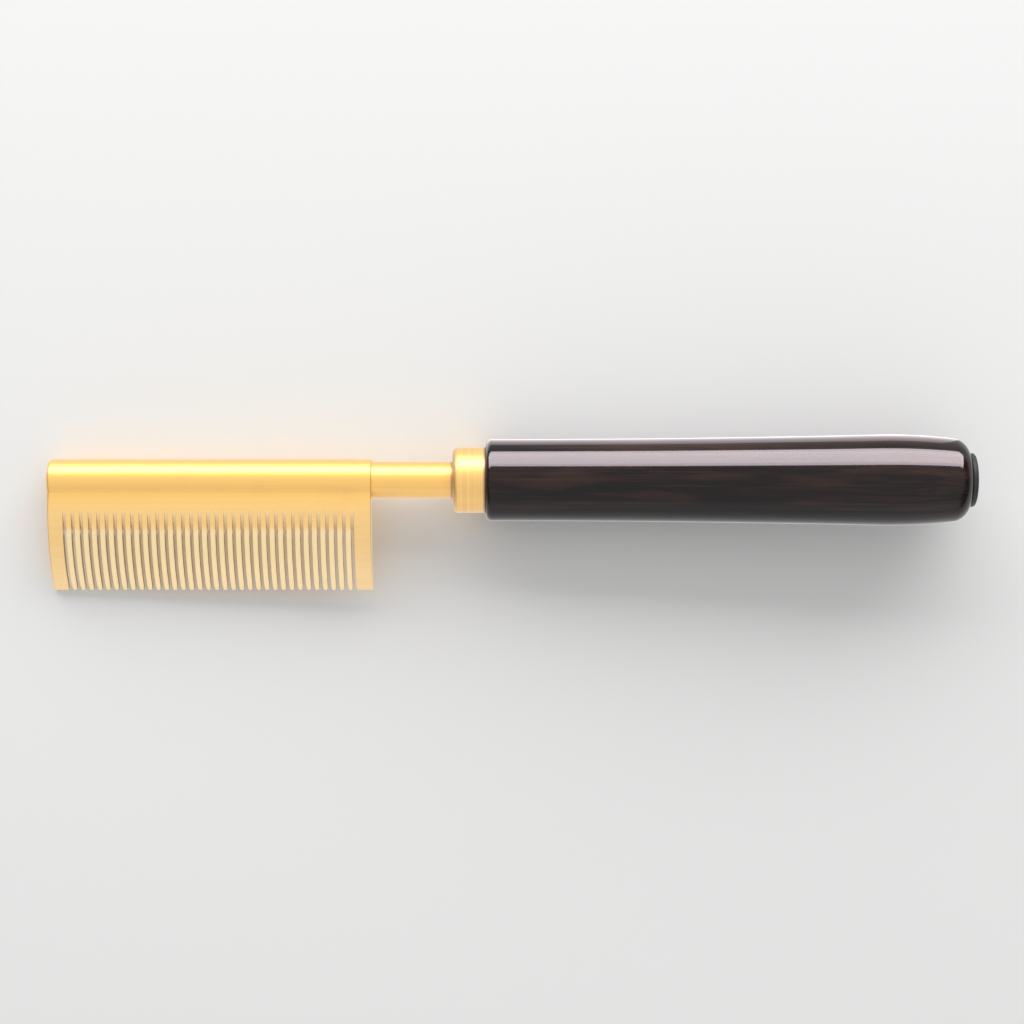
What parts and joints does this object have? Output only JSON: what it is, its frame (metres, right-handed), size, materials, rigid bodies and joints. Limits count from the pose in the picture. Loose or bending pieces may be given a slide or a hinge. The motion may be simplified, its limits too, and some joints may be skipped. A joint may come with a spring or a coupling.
{
  "type": "electric hot comb",
  "caption": "Electric straightening comb: curved brass teeth on a heated barrel, brass shank and ferrule, and a turned wooden handle with a cord gland.",
  "frame": {"origin": "centre of the cord gland's mouth, at the rear end of the handle, on the tool's axis", "axes": "+X along the tool's axis, from the comb's nose to the cord gland; the teeth point to -Y and curve towards -Z, so +Z is the side that faces up when the tool lies on a table"},
  "size_m": [0.2745, 0.0463, 0.027],
  "materials": {
    "comb_brass": "polished, with fine saw marks in the slots",
    "shank_brass": "polished tube",
    "ferrule_brass": "turned, with fine rings",
    "lacquered_wood": "dark stain under gloss lacquer",
    "black_rubber": "moulded, satin",
    "heater_steel": "drawn tube",
    "mica": "pressed mica sheet",
    "ceramic": "unglazed steatite",
    "resistance_wire": "oxidised nickel chrome wire",
    "glass_braid": "woven glass sleeving",
    "fuse_can": "drawn can",
    "tinned_copper": "tinned"
  },
  "bodies": {
    "root": {"comb_head": "comb_brass", "heater_sheath": "heater_steel", "mica_sleeve": "mica", "heater_winding": "resistance_wire", "heater_core": "ceramic", "heater_seal": "ceramic", "shank_tube": "shank_brass", "ferrule": "ferrule_brass", "front_washer": "mica", "shank_collar": "shank_brass", "rear_washer": "mica", "handle": "lacquered_wood", "heat_sleeve": "mica", "lead_beads": "ceramic", "shank_bush": "ceramic", "live_lead": "glass_braid", "neutral_lead": "glass_braid", "fuse_lead": "glass_braid", "thermal_fuse": "fuse_can", "fuse_sleeve": "glass_braid", "live_crimp": "tinned_copper", "neutral_crimp": "tinned_copper", "cord_bush": "black_rubber"}
  },
  "joints": []
}
